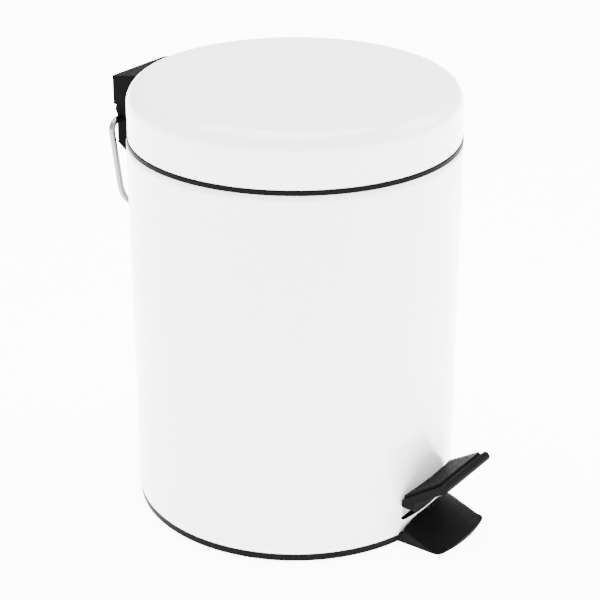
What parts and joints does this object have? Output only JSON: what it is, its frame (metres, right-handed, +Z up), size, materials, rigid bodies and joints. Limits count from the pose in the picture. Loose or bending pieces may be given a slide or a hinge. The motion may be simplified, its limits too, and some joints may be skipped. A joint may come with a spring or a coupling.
{
  "type": "pedal bin",
  "caption": "Round pedal-operated waste bin with painted steel body and lid, inner bucket, rear hinge, lever linkage and wire carrying handle.",
  "frame": {"origin": "centre of the base on the floor", "axes": "+Z up, -Y towards the pedal (front), +Y towards the hinge (rear), +X to the right seen from the front"},
  "size_m": [0.206, 0.2568, 0.276],
  "materials": {
    "white_paint": "gloss",
    "black_plastic": "satin",
    "black_rubber": "matt",
    "grey_rubber": "matt",
    "zinc_steel": "satin",
    "spring_steel": "satin",
    "cast_zinc": "satin",
    "chrome_wire": "polished",
    "bucket_plastic": "satin"
  },
  "bodies": {
    "bin": {"body_shell": "white_paint", "rim_collar": "black_plastic", "base_moulding": "black_plastic", "lever_keepers": "black_plastic", "keeper_screws": "zinc_steel", "lever_pin": "zinc_steel", "rod_guide": "black_plastic", "backing_plate": "zinc_steel", "bracket_screws": "zinc_steel", "hinge_bracket": "black_plastic", "hinge_pin": "zinc_steel"},
    "lid": {"lid_shell": "white_paint", "lid_liner": "black_plastic", "lid_buffers": "grey_rubber", "lid_arm": "cast_zinc", "lid_screws": "zinc_steel", "hinge_cover": "black_plastic"},
    "pedal": {"pedal_lever": "zinc_steel", "pedal_frame": "black_plastic", "pedal_tread": "black_rubber", "pedal_screws": "zinc_steel"},
    "rod": {"push_rod": "zinc_steel", "rod_clips": "spring_steel"},
    "handle": {"carry_handle": "chrome_wire"},
    "bucket": {"inner_bucket": "bucket_plastic"},
    "bail": {"bucket_bail": "chrome_wire"}
  },
  "joints": [
    {"name": "lid_hinge", "type": "hinge", "parent": "bin", "child": "lid", "pos_m": [0, 0.1182, 0.241], "axis": [-1, 0, 0], "range_deg": [0, 75]},
    {"name": "pedal_pivot", "type": "hinge", "parent": "bin", "child": "pedal", "pos_m": [0, -0.055, 0.024], "axis": [1, 0, 0], "range_deg": [0, 11.52]},
    {"name": "rod_lift", "type": "slide", "parent": "bin", "child": "rod", "axis": [0, 0, 1], "range_m": [0, 0.03056]},
    {"name": "handle_swing", "type": "hinge", "parent": "bin", "child": "handle", "pos_m": [0, 0.1188, 0.2356], "axis": [1, 0, 0], "range_deg": [-8, 110]},
    {"name": "bucket_lift", "type": "slide", "parent": "bin", "child": "bucket", "axis": [0, 0, 1], "range_m": [0, 0.012]},
    {"name": "bail_swing", "type": "hinge", "parent": "bucket", "child": "bail", "pos_m": [0, 0, 0.236], "axis": [-1, 0, 0], "range_deg": [0, 15]}
  ],
  "couplings": [
    {"joint": "pedal_pivot", "follows": "lid_hinge", "ratio": 0.15339},
    {"joint": "rod_lift", "follows": "lid_hinge", "m_per_rad": 0.023337}
  ]
}
